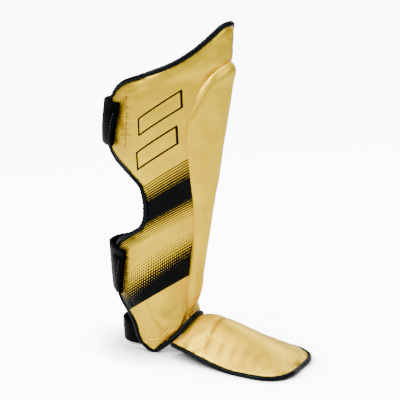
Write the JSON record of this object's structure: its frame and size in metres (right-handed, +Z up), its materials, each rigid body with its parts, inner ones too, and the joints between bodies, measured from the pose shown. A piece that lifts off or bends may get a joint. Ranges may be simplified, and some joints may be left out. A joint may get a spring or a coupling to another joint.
{
  "type": "shin and instep guard",
  "caption": "Padded leatherette guard that wraps the shin and covers the instep, with bound edges, a raised front ridge and elastic straps behind the leg.",
  "frame": {"origin": "on the floor, at the middle of the guard's bounding box from above", "axes": "+X towards the toe, +Z up along the shin, -Y is the side seen in the picture"},
  "size_m": [0.261, 0.1292, 0.3881],
  "materials": {
    "shin_shell": "satin gold leatherette over foam",
    "shin_ridge_pad": "satin gold leatherette over foam",
    "instep_pad": "satin gold leatherette over foam",
    "shell_binding": "black woven binding tape with a soft sheen",
    "instep_binding": "black woven binding tape with a soft sheen",
    "upper_calf_strap": "black elastic webbing",
    "lower_calf_strap": "black elastic webbing",
    "heel_strap": "black elastic webbing",
    "hinge_tab_near": "black elastic webbing",
    "hinge_tab_far": "black elastic webbing"
  },
  "bodies": {
    "root": {"shin_shell": "shin_shell", "shin_ridge_pad": "shin_ridge_pad", "instep_pad": "instep_pad", "shell_binding": "shell_binding", "instep_binding": "instep_binding", "upper_calf_strap": "upper_calf_strap", "lower_calf_strap": "lower_calf_strap", "heel_strap": "heel_strap", "hinge_tab_near": "hinge_tab_near", "hinge_tab_far": "hinge_tab_far"}
  },
  "joints": []
}
